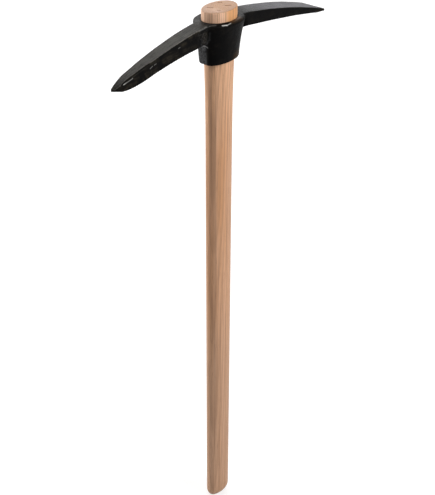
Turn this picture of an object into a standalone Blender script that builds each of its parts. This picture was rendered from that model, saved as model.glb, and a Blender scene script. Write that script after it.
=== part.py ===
"""Pick mattock: a one-piece forged head, slipped over an oval wooden handle.

The handle stands on its butt along +Z. The pick point is at -X and the chisel edge at +X.
Run it with blender --background --python part.py, or from Blender's text editor.
"""

import math

import bmesh
import bpy

MM = 0.001

# Handle: an oval bar, long way of the oval along the head
HANDLE_LENGTH = 900 * MM
BUTT_LONG_RADIUS = 23.8 * MM
BUTT_SHORT_RADIUS = 14.6 * MM
BUTT_EDGE_WIDTH = 10 * MM
BUTT_EDGE_HEIGHT = 14 * MM
GRIP_LONG_RADIUS = 24.8 * MM
GRIP_SHORT_RADIUS = 15.4 * MM
SWELL_LENGTH = 125 * MM
NECK_LONG_RADIUS = 27.0 * MM
NECK_SHORT_RADIUS = 17.0 * MM
TOP_LONG_RADIUS = 30.6 * MM
TOP_SHORT_RADIUS = 21.0 * MM
TOP_EDGE_RADIUS = 1.5 * MM

# Marks that the lathe's driving centre leaves in the top end grain
DRIVE_MARK_COUNT = 4
DRIVE_MARK_LENGTH = 9 * MM
DRIVE_MARK_WIDTH = 1.8 * MM
DRIVE_MARK_DEPTH = 1.5 * MM
DRIVE_MARK_CIRCLE = 14 * MM
DRIVE_MARK_ANGLE = math.radians(33)

# Eye: the tapered oval socket that the handle is driven up into
HANDLE_PROUD = 15 * MM
EYE_DEPTH = 60 * MM
EYE_CLEARANCE = 0.3 * MM
EYE_TOP_SLOPE = 0.04
EYE_END_WALL_TOP = 14.0 * MM
EYE_SIDE_WALL_TOP = 8.0 * MM
EYE_END_WALL_BOTTOM = 7.9 * MM
EYE_SIDE_WALL_BOTTOM = 3.9 * MM
EYE_FLARE_POWER = 2.2
EYE_SQUARENESS = 2.15
EYE_END_FLAT = 2.2 * MM
EYE_FRONT_LAND = 2.5 * MM
EYE_FRONT_DROP = 5 * MM
EYE_BACK_RIM_RADIUS = 1.2 * MM
EYE_BOTTOM_EDGE_RADIUS = 1.3 * MM
BORE_OVERRUN = 12 * MM

# Pick arm: square in section, drooping to a four-sided point with a blunt nose
PICK_REACH = 216.5 * MM
PICK_DROP = 33.35 * MM
PICK_BOW = 4.4 * MM
PICK_ROOT_HEIGHT = 26.1 * MM
PICK_ROOT_WIDTH = 24.2 * MM
PICK_SHOULDER_HEIGHT = 20.3 * MM
PICK_SHOULDER_WIDTH = 19.8 * MM
PICK_POINT_LENGTH = 71 * MM
PICK_POINT_HEIGHT = 7.8 * MM
PICK_POINT_WIDTH = 13.0 * MM
PICK_POINT_POWER = 2.5
PICK_NOSE_LENGTH = 28 * MM
PICK_NOSE_SHARE = 0.55
PICK_NOSE_DROOP = 0.74

# Chisel arm: a flat blade that widens and thins to its cutting edge
CHISEL_REACH = 230.5 * MM
CHISEL_DROP = 45.3 * MM
CHISEL_BOW = 4.4 * MM
CHISEL_ROOT_HEIGHT = 20.4 * MM
CHISEL_ROOT_WIDTH = 31.5 * MM
CHISEL_EDGE_WIDTH = 42.8 * MM
CHISEL_HEEL_HEIGHT = 7.7 * MM
CHISEL_TAPER_POWER = 1.4
CHISEL_BEVEL_LENGTH = 19 * MM
CHISEL_EDGE_HEIGHT = 3.6 * MM

# Where both arms flow into the eye
ARM_EDGE_RADIUS = 1.3 * MM
ARM_TOP_SET = 0.25 * MM
ROOT_SIDE_BLEND = 5 * MM
ROOT_FILLET_RADIUS = 10 * MM
ROOT_FILLET_FOOT_WIDTH = 9 * MM

# Facets
OVAL_SEGMENTS = 56
EDGE_STEPS = 5
SWELL_STEPS = 8
EYE_STEPS = 9
ARM_STEPS = 18
CORNER_STEPS = 3

# Rules that keep an edge's rounding inside its wall, and where a fold counts as an edge
LARGEST_EDGE_SHARE = 0.4
LARGEST_RIM_SHARE = 0.8
SHARP_FOLD = math.radians(35)

# Finishes: colour, roughness and metallic value
OILED_WOOD = ((0.62, 0.42, 0.28), 0.6, 0.0)
BLACKENED_STEEL = ((0.03, 0.03, 0.032), 0.45, 0.6)

# Places worked out from the sizes above
EYE_TOP_Z = HANDLE_LENGTH - HANDLE_PROUD
EYE_BOTTOM_Z = EYE_TOP_Z - EYE_DEPTH
SWELL_START_Z = EYE_BOTTOM_Z - SWELL_LENGTH
EYE_END_X = TOP_LONG_RADIUS + EYE_CLEARANCE + EYE_END_WALL_TOP


def clear_scene():
    """Remove every object and mesh of the open file."""
    for item in list(bpy.data.objects):
        bpy.data.objects.remove(item, do_unlink=True)
    for mesh in list(bpy.data.meshes):
        bpy.data.meshes.remove(mesh)


def mix(start, end, share):
    """Go from start to end as share goes from 0 to 1."""
    return start + (end - start) * share


def clamp(value):
    """Hold a value between 0 and 1."""
    return max(0.0, min(1.0, value))


def make_collection(name):
    """Add a collection to the scene."""
    collection = bpy.data.collections.new(name)
    bpy.context.scene.collection.children.link(collection)
    return collection


def make_material(name, colour, roughness, metallic):
    """Make a plain Principled material."""
    material = bpy.data.materials.new(name)
    material.use_nodes = True
    shader = material.node_tree.nodes["Principled BSDF"]
    shader.inputs["Base Color"].default_value = (*colour, 1.0)
    shader.inputs["Roughness"].default_value = roughness
    shader.inputs["Metallic"].default_value = metallic
    return material


def loft(name, rings, collection, place):
    """Skin a list of rings with equal counts of points, and cap both ends.

    The rings are in the scene's frame, and the object's origin goes to place.
    """
    bm = bmesh.new()
    loops = [[bm.verts.new((x - place[0], y - place[1], z - place[2])) for x, y, z in ring] for ring in rings]
    count = len(rings[0])
    for lower, upper in zip(loops, loops[1:]):
        for i in range(count):
            j = (i + 1) % count
            bm.faces.new((lower[i], lower[j], upper[j], upper[i]))
    bm.faces.new(list(reversed(loops[0])))
    bm.faces.new(loops[-1])
    bmesh.ops.recalc_face_normals(bm, faces=bm.faces)
    mesh = bpy.data.meshes.new(name)
    bm.to_mesh(mesh)
    bm.free()
    mesh.shade_smooth()
    mesh.set_sharp_from_angle(angle=SHARP_FOLD)
    for cap in (polygon for polygon in mesh.polygons if len(polygon.vertices) > 4):
        cap.use_smooth = False
    item = bpy.data.objects.new(name, mesh)
    item.location = place
    collection.objects.link(item)
    return item


def turns_round():
    """Angles of the points round an oval."""
    return [2 * math.pi * i / OVAL_SEGMENTS for i in range(OVAL_SEGMENTS)]


def quarter_turn():
    """Angles of the steps round an edge, from 0 to a right angle."""
    return [0.5 * math.pi * step / EDGE_STEPS for step in range(EDGE_STEPS + 1)]


def oval(long_radius, short_radius, z):
    """Points round a level ellipse."""
    return [(long_radius * math.cos(turn), short_radius * math.sin(turn), z) for turn in turns_round()]


def as_guide(item):
    """Mark an object as a cutter or a shape to join, which isn't a piece by itself."""
    item.hide_render = True
    item.display_type = "WIRE"
    return item


def add_boolean(item, operation, other):
    """Join or cut an object with another one."""
    modifier = item.modifiers.new(operation.title(), "BOOLEAN")
    modifier.operation = operation
    modifier.solver = "EXACT"
    modifier.object = other


def handle_radii(z):
    """Long and short radius of the handle's oval at a height, without its rounded ends."""
    if z <= SWELL_START_Z:
        share = clamp((z - BUTT_EDGE_HEIGHT) / (SWELL_START_Z - BUTT_EDGE_HEIGHT))
        return (mix(BUTT_LONG_RADIUS, GRIP_LONG_RADIUS, share),
                mix(BUTT_SHORT_RADIUS, GRIP_SHORT_RADIUS, share))
    if z <= EYE_BOTTOM_Z:
        share = ((z - SWELL_START_Z) / SWELL_LENGTH) ** 2
        return (mix(GRIP_LONG_RADIUS, NECK_LONG_RADIUS, share),
                mix(GRIP_SHORT_RADIUS, NECK_SHORT_RADIUS, share))
    share = clamp((z - EYE_BOTTOM_Z) / EYE_DEPTH)
    return (mix(NECK_LONG_RADIUS, TOP_LONG_RADIUS, share),
            mix(NECK_SHORT_RADIUS, TOP_SHORT_RADIUS, share))


def handle_rings():
    """Rings from the rounded butt, up the swelling shaft, to the top above the eye."""
    rings = []
    for angle in quarter_turn():
        inset = BUTT_EDGE_WIDTH * (1 - math.sin(angle))
        height = BUTT_EDGE_HEIGHT * (1 - math.cos(angle))
        rings.append(oval(BUTT_LONG_RADIUS - inset, BUTT_SHORT_RADIUS - inset, height))
    heights = [mix(BUTT_EDGE_HEIGHT, SWELL_START_Z, step / SWELL_STEPS) for step in range(1, SWELL_STEPS + 1)]
    heights += [mix(SWELL_START_Z, EYE_BOTTOM_Z, step / SWELL_STEPS) for step in range(1, SWELL_STEPS + 1)]
    heights.append(EYE_TOP_Z)
    for z in heights:
        rings.append(oval(*handle_radii(z), z))
    for angle in quarter_turn():
        inset = TOP_EDGE_RADIUS * (1 - math.cos(angle))
        z = HANDLE_LENGTH - TOP_EDGE_RADIUS * (1 - math.sin(angle))
        rings.append(oval(TOP_LONG_RADIUS - inset, TOP_SHORT_RADIUS - inset, z))
    return rings


def make_drive_marks(collection):
    """One cutter for the slots in the top, each pointing at the handle's centre line."""
    bm = bmesh.new()
    for index in range(DRIVE_MARK_COUNT):
        quarter, side = divmod(index, 2)
        angle = quarter * math.pi + (DRIVE_MARK_ANGLE if side == 0 else math.pi - DRIVE_MARK_ANGLE)
        box = bmesh.ops.create_cube(bm, size=1.0)["verts"]
        bmesh.ops.scale(bm, verts=box, vec=(DRIVE_MARK_LENGTH, DRIVE_MARK_WIDTH, 2 * DRIVE_MARK_DEPTH))
        for vert in box:
            x = vert.co.x + DRIVE_MARK_CIRCLE
            y = vert.co.y
            vert.co.x = x * math.cos(angle) - y * math.sin(angle)
            vert.co.y = x * math.sin(angle) + y * math.cos(angle)
    mesh = bpy.data.meshes.new("drive_marks")
    bm.to_mesh(mesh)
    bm.free()
    item = bpy.data.objects.new("drive_marks", mesh)
    item.location = (0, 0, HANDLE_LENGTH)
    collection.objects.link(item)
    return as_guide(item)


def make_handle(collection, guides):
    """The wooden handle, with its origin at the butt."""
    handle = loft("handle", handle_rings(), collection, (0, 0, 0))
    handle.data.materials.append(make_material("oiled_wood", *OILED_WOOD))
    add_boolean(handle, "DIFFERENCE", make_drive_marks(guides))
    return handle


def eye_top(x):
    """Height of the head's top face over the eye, which falls towards the chisel."""
    return EYE_TOP_Z - EYE_TOP_SLOPE * x


def root_top(x):
    """Height of the arms' top face beside the eye, set just under its rim."""
    return eye_top(x) - ARM_TOP_SET


def collar_radii(share):
    """Long and short outer radius of the eye's wall at a share of its depth, 0 at its lower rim."""
    inner_long, inner_short = handle_radii(mix(EYE_BOTTOM_Z, EYE_TOP_Z, share))
    flare = share ** EYE_FLARE_POWER
    return (inner_long + EYE_CLEARANCE + mix(EYE_END_WALL_BOTTOM, EYE_END_WALL_TOP, flare),
            inner_short + EYE_CLEARANCE + mix(EYE_SIDE_WALL_BOTTOM, EYE_SIDE_WALL_TOP, flare))


def collar_share(z):
    """The share of the eye's depth that a height stands for."""
    return clamp((z - EYE_BOTTOM_Z) / EYE_DEPTH)


def squared(part):
    """A sine or cosine on an oval that is fuller at its corners than an ellipse."""
    return math.copysign(abs(part) ** (2 / EYE_SQUARENESS), part)


def collar_point(turn, share, radii):
    """A point round the eye's wall, at a share of its depth, on an oval that is cut flat at its ends."""
    long_radius, short_radius = radii
    reach = long_radius - EYE_END_FLAT
    x = max(-reach, min(reach, long_radius * squared(math.cos(turn))))
    return x, short_radius * squared(math.sin(turn)), mix(EYE_BOTTOM_Z, eye_top(x), share)


def land_radii(front):
    """Long and short radius of the flat land round the hole, at the back, 0, or at the front, 1."""
    def radius(inner, wall):
        """One of the two radii, from the hole's radius and the wall's full thickness."""
        return inner + EYE_CLEARANCE + mix(wall - EYE_BACK_RIM_RADIUS, EYE_FRONT_LAND, front)

    return radius(TOP_LONG_RADIUS, EYE_END_WALL_TOP), radius(TOP_SHORT_RADIUS, EYE_SIDE_WALL_TOP)


def rim_point(turn, angle):
    """A point of the top rim's round, from the wall, at angle 0, to the land, at a right angle."""
    front = (1 - math.sin(turn)) / 2
    front = front ** 2 * (3 - 2 * front)
    share = 1 - mix(EYE_BACK_RIM_RADIUS, EYE_FRONT_DROP, front) * (1 - math.sin(angle)) / EYE_DEPTH
    pairs = zip(collar_radii(share), land_radii(front))
    return collar_point(turn, share, tuple(mix(wall, land, 1 - math.cos(angle)) for wall, land in pairs))


def collar_rings():
    """Outer rings of the eye's wall, from its rounded lower rim to its top face."""
    rings = []
    foot_radius = min(EYE_BOTTOM_EDGE_RADIUS, LARGEST_RIM_SHARE * EYE_SIDE_WALL_BOTTOM)
    for angle in quarter_turn():
        share = foot_radius * (1 - math.cos(angle)) / EYE_DEPTH
        inset = foot_radius * (1 - math.sin(angle))
        radii = tuple(radius - inset for radius in collar_radii(share))
        rings.append([collar_point(turn, share, radii) for turn in turns_round()])
    first = foot_radius / EYE_DEPTH
    last = 1 - EYE_FRONT_DROP / EYE_DEPTH
    for step in range(1, EYE_STEPS):
        share = mix(first, last, step / EYE_STEPS)
        rings.append([collar_point(turn, share, collar_radii(share)) for turn in turns_round()])
    for angle in quarter_turn():
        rings.append([rim_point(turn, angle) for turn in turns_round()])
    return rings


def bore_rings():
    """Rings of the tapered hole, which runs past both faces of the eye."""
    rings = []
    for z in (EYE_BOTTOM_Z - BORE_OVERRUN, EYE_TOP_Z + BORE_OVERRUN):
        share = (z - EYE_BOTTOM_Z) / EYE_DEPTH
        rings.append(oval(mix(NECK_LONG_RADIUS, TOP_LONG_RADIUS, share) + EYE_CLEARANCE,
                          mix(NECK_SHORT_RADIUS, TOP_SHORT_RADIUS, share) + EYE_CLEARANCE, z))
    return rings


def arm_ring(x, top, height, back, front, foot):
    """A four-sided section with rounded corners, square to X, with the reach of its back, front and foot."""
    radius = min(ARM_EDGE_RADIUS, LARGEST_EDGE_SHARE * min(height, 2 * back, 2 * foot))
    corners = (
        (back, top, 1, 1),
        (-front, top, -1, 1),
        (-foot, top - height, -1, -1),
        (foot, top - height, 1, -1),
    )
    points = []
    for number, (y, z, side, up) in enumerate(corners):
        centre_y = y - side * radius
        centre_z = z - up * radius
        for step in range(CORNER_STEPS + 1):
            angle = 0.5 * math.pi * (number + step / CORNER_STEPS)
            points.append((x, centre_y + radius * math.cos(angle), centre_z + radius * math.sin(angle)))
    return points


def rounded_larger(first, second, blend):
    """The larger of two lengths, rounded off where they are within blend of each other."""
    overlap = max(blend - abs(first - second), 0)
    return max(first, second) + overlap ** 2 / (4 * blend)


def root_reach(width, distance, radii):
    """How far an arm's side lies from its middle, where it flows into an oval of the eye."""
    long_radius, short_radius = radii
    wall = short_radius * max(1 - (distance / long_radius) ** EYE_SQUARENESS, 0) ** (1 / EYE_SQUARENESS)
    wall = min(wall, width / 2 + ROOT_SIDE_BLEND) - ARM_TOP_SET
    return rounded_larger(width / 2, wall, ROOT_SIDE_BLEND)


def root_section(side, distance, top, height, width):
    """An arm's ring, with its sides and underside filleted to the eye where it is near."""
    foot_share = collar_share(top - height - ROOT_FILLET_RADIUS)
    foot_x = collar_radii(foot_share)[0] - EYE_END_FLAT
    near = clamp((foot_x + ROOT_FILLET_RADIUS - distance) / ROOT_FILLET_RADIUS)
    height += ROOT_FILLET_RADIUS * (1 - math.sqrt(1 - near ** 2))
    back = root_reach(width, distance, land_radii(0))
    front = root_reach(width, distance, land_radii(1))
    foot = root_reach(width, distance, collar_radii(collar_share(top - height)))
    foot = mix(foot, ROOT_FILLET_FOOT_WIDTH / 2, near ** 2)
    return arm_ring(side * distance, top, height, back, front, foot)


def pick_section(distance):
    """The pick arm's ring at a distance from the handle's centre line."""
    along = clamp((distance - EYE_END_X) / (PICK_REACH - EYE_END_X))
    shoulder = PICK_REACH - PICK_POINT_LENGTH
    taper = clamp((distance - EYE_END_X) / (shoulder - EYE_END_X))
    point = clamp((distance - shoulder) / PICK_POINT_LENGTH)
    nose = clamp((distance - PICK_REACH + PICK_NOSE_LENGTH) / PICK_NOSE_LENGTH)
    slimness = math.sqrt(1 - (1 - PICK_NOSE_SHARE ** 2) * nose ** 2)
    width = mix(mix(PICK_ROOT_WIDTH, PICK_SHOULDER_WIDTH, taper), PICK_POINT_WIDTH, point)
    height = mix(PICK_ROOT_HEIGHT, PICK_SHOULDER_HEIGHT, taper)
    height = mix(height, PICK_POINT_HEIGHT, point ** PICK_POINT_POWER)
    top = root_top(-min(distance, EYE_END_X)) - PICK_DROP * along + 4 * PICK_BOW * along * (1 - along)
    top -= PICK_NOSE_DROOP * height * (1 - slimness)
    return root_section(-1, distance, top, height * slimness, width * slimness)


def chisel_section(distance):
    """The chisel arm's ring at a distance from the handle's centre line."""
    along = clamp((distance - EYE_END_X) / (CHISEL_REACH - EYE_END_X))
    heel = CHISEL_REACH - CHISEL_BEVEL_LENGTH
    taper = clamp((distance - EYE_END_X) / (heel - EYE_END_X))
    bevel = clamp((distance - heel) / CHISEL_BEVEL_LENGTH)
    top = root_top(min(distance, EYE_END_X)) - CHISEL_DROP * along + 4 * CHISEL_BOW * along * (1 - along)
    height = mix(CHISEL_ROOT_HEIGHT, CHISEL_HEEL_HEIGHT, taper ** CHISEL_TAPER_POWER)
    height = mix(height, CHISEL_EDGE_HEIGHT, bevel)
    width = mix(CHISEL_ROOT_WIDTH, CHISEL_EDGE_WIDTH, along)
    return root_section(1, distance, top, height, width)


def arm_stations(reach, end_length):
    """Distances of an arm's rings: close together at its root and over its worked end."""
    inside = NECK_LONG_RADIUS + EYE_CLEARANCE
    root_end = EYE_END_X + ROOT_FILLET_RADIUS
    end_start = reach - end_length
    stations = [mix(inside, root_end, step / ARM_STEPS) for step in range(ARM_STEPS)]
    stations += [mix(root_end, end_start, step / ARM_STEPS) for step in range(ARM_STEPS)]
    shares = (math.sin(0.5 * math.pi * step / ARM_STEPS) for step in range(ARM_STEPS + 1))
    return stations + [mix(end_start, reach, share) for share in shares]


def make_arms(collection):
    """Both arms as one bar through the eye, pick point to cutting edge."""
    pick = [pick_section(distance) for distance in arm_stations(PICK_REACH, PICK_POINT_LENGTH)]
    chisel = [chisel_section(distance) for distance in arm_stations(CHISEL_REACH, CHISEL_BEVEL_LENGTH)]
    return as_guide(loft("arms", list(reversed(pick)) + chisel, collection, (0, 0, EYE_TOP_Z)))


def make_head(collection, guides):
    """The forged head, with its origin on the handle's centre line at the eye's top."""
    place = (0, 0, EYE_TOP_Z)
    head = loft("head", collar_rings(), collection, place)
    head.data.materials.append(make_material("blackened_steel", *BLACKENED_STEEL))
    add_boolean(head, "UNION", make_arms(guides))
    add_boolean(head, "DIFFERENCE", as_guide(loft("bore", bore_rings(), guides, place)))
    return head


def main():
    """Build the tool."""
    clear_scene()
    pieces = make_collection("pick_mattock")
    guides = make_collection("cutters")
    make_handle(pieces, guides)
    make_head(pieces, guides)


main()
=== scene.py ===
"""Looks of a pick mattock: a forged head with two arms, driven onto an oval wooden handle.

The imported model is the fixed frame. The handle and the head each get a fine mesh in the place of
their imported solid, a finish made of shader nodes, and a ride on the body that carries them.
"""

import itertools
import logging
import math
from dataclasses import dataclass
from enum import Enum
from typing import Sequence

import bpy
import numpy as np
from mathutils import Matrix, Vector
from mathutils.bvhtree import BVHTree


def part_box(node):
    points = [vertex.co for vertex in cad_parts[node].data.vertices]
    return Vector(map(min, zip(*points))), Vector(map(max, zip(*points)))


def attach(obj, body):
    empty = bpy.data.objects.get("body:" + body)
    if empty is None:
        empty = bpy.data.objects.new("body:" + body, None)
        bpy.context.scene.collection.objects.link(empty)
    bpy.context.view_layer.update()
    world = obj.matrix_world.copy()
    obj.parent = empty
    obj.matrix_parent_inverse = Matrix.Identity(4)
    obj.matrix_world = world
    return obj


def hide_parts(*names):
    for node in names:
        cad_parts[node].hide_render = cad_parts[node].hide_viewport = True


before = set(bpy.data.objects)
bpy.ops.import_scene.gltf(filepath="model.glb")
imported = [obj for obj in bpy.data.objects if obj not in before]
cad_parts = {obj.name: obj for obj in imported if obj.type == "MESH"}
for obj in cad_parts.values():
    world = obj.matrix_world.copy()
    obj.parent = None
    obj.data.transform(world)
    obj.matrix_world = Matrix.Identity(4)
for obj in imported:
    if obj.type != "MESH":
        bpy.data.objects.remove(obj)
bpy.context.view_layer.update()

MM = 0.001

log = logging.getLogger("pick_mattock")

Point = tuple[float, float, float]
Colour = tuple[float, float, float]
Oval = tuple[float, float]


class Body(Enum):
    """The bodies of the frame that the pieces ride on."""

    HANDLE = "handle"
    HEAD = "head"


class Slot(Enum):
    """The record's material slots."""

    WOOD = "handle_wood"
    STEEL = "head_steel"


# Numbers and arrays


def mix(start: float, end: float, share: float) -> float:
    """Go from start to end as share goes from 0 to 1."""
    return start + (end - start) * share


def clamp(value: float) -> float:
    """Hold a value between 0 and 1."""
    return max(0.0, min(1.0, value))


def ease(values: np.ndarray, low: float, high: float) -> np.ndarray:
    """Rise smoothly from 0 at low to 1 at high.

    Args:
        values: The numbers to map.
        low: Where the rise starts.
        high: Where it ends. It may be smaller than low, for a fall.

    Returns:
        An array of shares between 0 and 1.
    """
    share = np.clip((values - low) / (high - low), 0, 1)
    return share * share * (3 - 2 * share)


class LatticeNoise:
    """Smooth, seeded noise in space between -1 and 1, for dents and uneven surfaces."""

    SIZE = 32

    def __init__(self, seed: int) -> None:
        """Fill a lattice that repeats after SIZE cells each way."""
        self.values = np.random.default_rng(seed).uniform(-1, 1, (self.SIZE,) * 3)

    def sample(self, points: np.ndarray, cell: float | Point) -> np.ndarray:
        """Read the noise at some points.

        Args:
            points: An array of points, one per row.
            cell: The lattice's cell in metres, one number or one for each axis.

        Returns:
            One value for each point.
        """
        scaled = points / np.asarray(cell)
        low = np.floor(scaled).astype(int)
        share = scaled - low
        share = share * share * (3 - 2 * share)
        total = np.zeros(len(points))
        for corner in itertools.product((0, 1), repeat=3):
            i, j, k = ((low + corner) % self.SIZE).T
            total += np.prod(np.where(corner, share, 1 - share), axis=1) * self.values[i, j, k]
        return total


# Meshes


def new_object(name: str, mesh: bpy.types.Mesh) -> bpy.types.Object:
    """Put a mesh in the scene as an object."""
    item = bpy.data.objects.new(name, mesh)
    bpy.context.scene.collection.objects.link(item)
    return item


def skin(name: str, rings: Sequence[Sequence[Point]]) -> bpy.types.Object:
    """Skin a list of closed rings with equal counts of points, and cap both ends.

    Args:
        name: The object's name.
        rings: The rings, in order, each turning the same way.

    Returns:
        A new object with one closed mesh.
    """
    count = len(rings[0])
    points = [point for ring in rings for point in ring]
    faces = []
    for row in range(len(rings) - 1):
        for i in range(count):
            j = (i + 1) % count
            faces.append((row * count + i, row * count + j, (row + 1) * count + j, (row + 1) * count + i))
    faces.append(tuple(reversed(range(count))))
    faces.append(tuple(range(len(points) - count, len(points))))
    mesh = bpy.data.meshes.new(name)
    mesh.from_pydata(points, [], faces)
    mesh.update()
    return new_object(name, mesh)


def flip(item: bpy.types.Object) -> bpy.types.Object:
    """Turn an object's faces round, for rings that ran the other way."""
    item.data.flip_normals()
    return item


def apply_modifiers(item: bpy.types.Object) -> bpy.types.Object:
    """Give an object the mesh that its modifiers make, and take them off."""
    bpy.context.view_layer.update()
    evaluated = item.evaluated_get(bpy.context.evaluated_depsgraph_get())
    mesh = bpy.data.meshes.new_from_object(evaluated)
    item.modifiers.clear()
    item.data = mesh
    return item


def combine(item: bpy.types.Object, operation: str, other: bpy.types.Object) -> bpy.types.Object:
    """Join or cut an object with another one, which is used up.

    Args:
        item: The object that stays.
        operation: UNION or DIFFERENCE.
        other: The object to add or to take away.

    Returns:
        The first object with its new mesh.
    """
    modifier = item.modifiers.new(operation.title(), "BOOLEAN")
    modifier.operation = operation
    modifier.solver = "EXACT"
    modifier.object = other
    apply_modifiers(item)
    bpy.data.objects.remove(other)
    return item


def remesh(item: bpy.types.Object, voxel: float) -> bpy.types.Object:
    """Give an object an even mesh of small faces.

    Args:
        item: The object, with a closed mesh.
        voxel: The size of a face in metres.

    Returns:
        The same object.
    """
    modifier = item.modifiers.new("Remesh", "REMESH")
    modifier.mode = "VOXEL"
    modifier.voxel_size = voxel
    return apply_modifiers(item)


class Relief:
    """A mesh's points and neighbours as arrays, to smooth it, press it and read its edges."""

    def __init__(self, item: bpy.types.Object) -> None:
        """Read the mesh of an object."""
        self.mesh = item.data
        count = len(self.mesh.vertices)
        flat = np.empty(count * 3)
        self.mesh.vertices.foreach_get("co", flat)
        self.points = flat.reshape(-1, 3)
        pairs = np.empty(len(self.mesh.edges) * 2, int)
        self.mesh.edges.foreach_get("vertices", pairs)
        first, second = pairs.reshape(-1, 2).T
        self.here = np.concatenate((first, second))
        self.there = np.concatenate((second, first))
        self.valence = np.maximum(np.bincount(self.here, minlength=count), 1)

    def around(self, values: np.ndarray) -> np.ndarray:
        """Average a value over each point's neighbours."""
        total = np.bincount(self.here, weights=values[self.there], minlength=len(self.valence))
        return total / self.valence

    def smooth(self, weight: np.ndarray | float, rounds: int) -> None:
        """Draw each point towards its neighbours.

        Args:
            weight: How far to go in one round, from 0 to 1.
            rounds: The count of rounds.
        """
        for _ in range(rounds):
            for axis in range(3):
                column = self.points[:, axis]
                self.points[:, axis] = column + weight * (self.around(column) - column)

    def snap_to(self, target: bpy.types.Object) -> None:
        """Lay each point on the nearest place of another object's surface."""
        tree = BVHTree.FromPolygons([v.co for v in target.data.vertices],
                                    [p.vertices for p in target.data.polygons])
        self.points = np.array([tree.find_nearest(Vector(point))[0] for point in self.points])

    def normals(self) -> np.ndarray:
        """The mesh's normals at its points, as they are now."""
        self.write()
        flat = np.empty(len(self.valence) * 3)
        self.mesh.vertex_normals.foreach_get("vector", flat)
        return flat.reshape(-1, 3)

    def press(self, depth: np.ndarray) -> None:
        """Move each point inwards along its normal by a depth."""
        self.points = self.points - self.normals() * depth[:, None]

    def convexity(self, rounds: int) -> np.ndarray:
        """How sharply the surface bends outwards at each point.

        Args:
            rounds: How often the answer is averaged over the neighbours.

        Returns:
            Half the bend in 1/m, above 0 on an edge and below 0 in a hollow.
        """
        normals = self.normals()
        step = self.points[self.there] - self.points[self.here]
        bend = np.einsum("ij,ij->i", normals[self.here], step) / np.einsum("ij,ij->i", step, step)
        result = -np.bincount(self.here, weights=bend, minlength=len(self.valence)) / self.valence
        for _ in range(rounds):
            result = self.around(result)
        return result

    def write(self) -> None:
        """Put the points back in the mesh."""
        self.mesh.vertices.foreach_set("co", self.points.ravel())
        self.mesh.update()

    def paint(self, name: str, values: np.ndarray) -> None:
        """Store one value a point as an attribute, which a finish can read."""
        attribute = self.mesh.attributes.new(name, "FLOAT", "POINT")
        attribute.data.foreach_set("value", np.clip(values, 0, 1).astype(np.float32))


# Shader nodes

Value = float | Sequence[float] | bpy.types.NodeSocket


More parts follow.
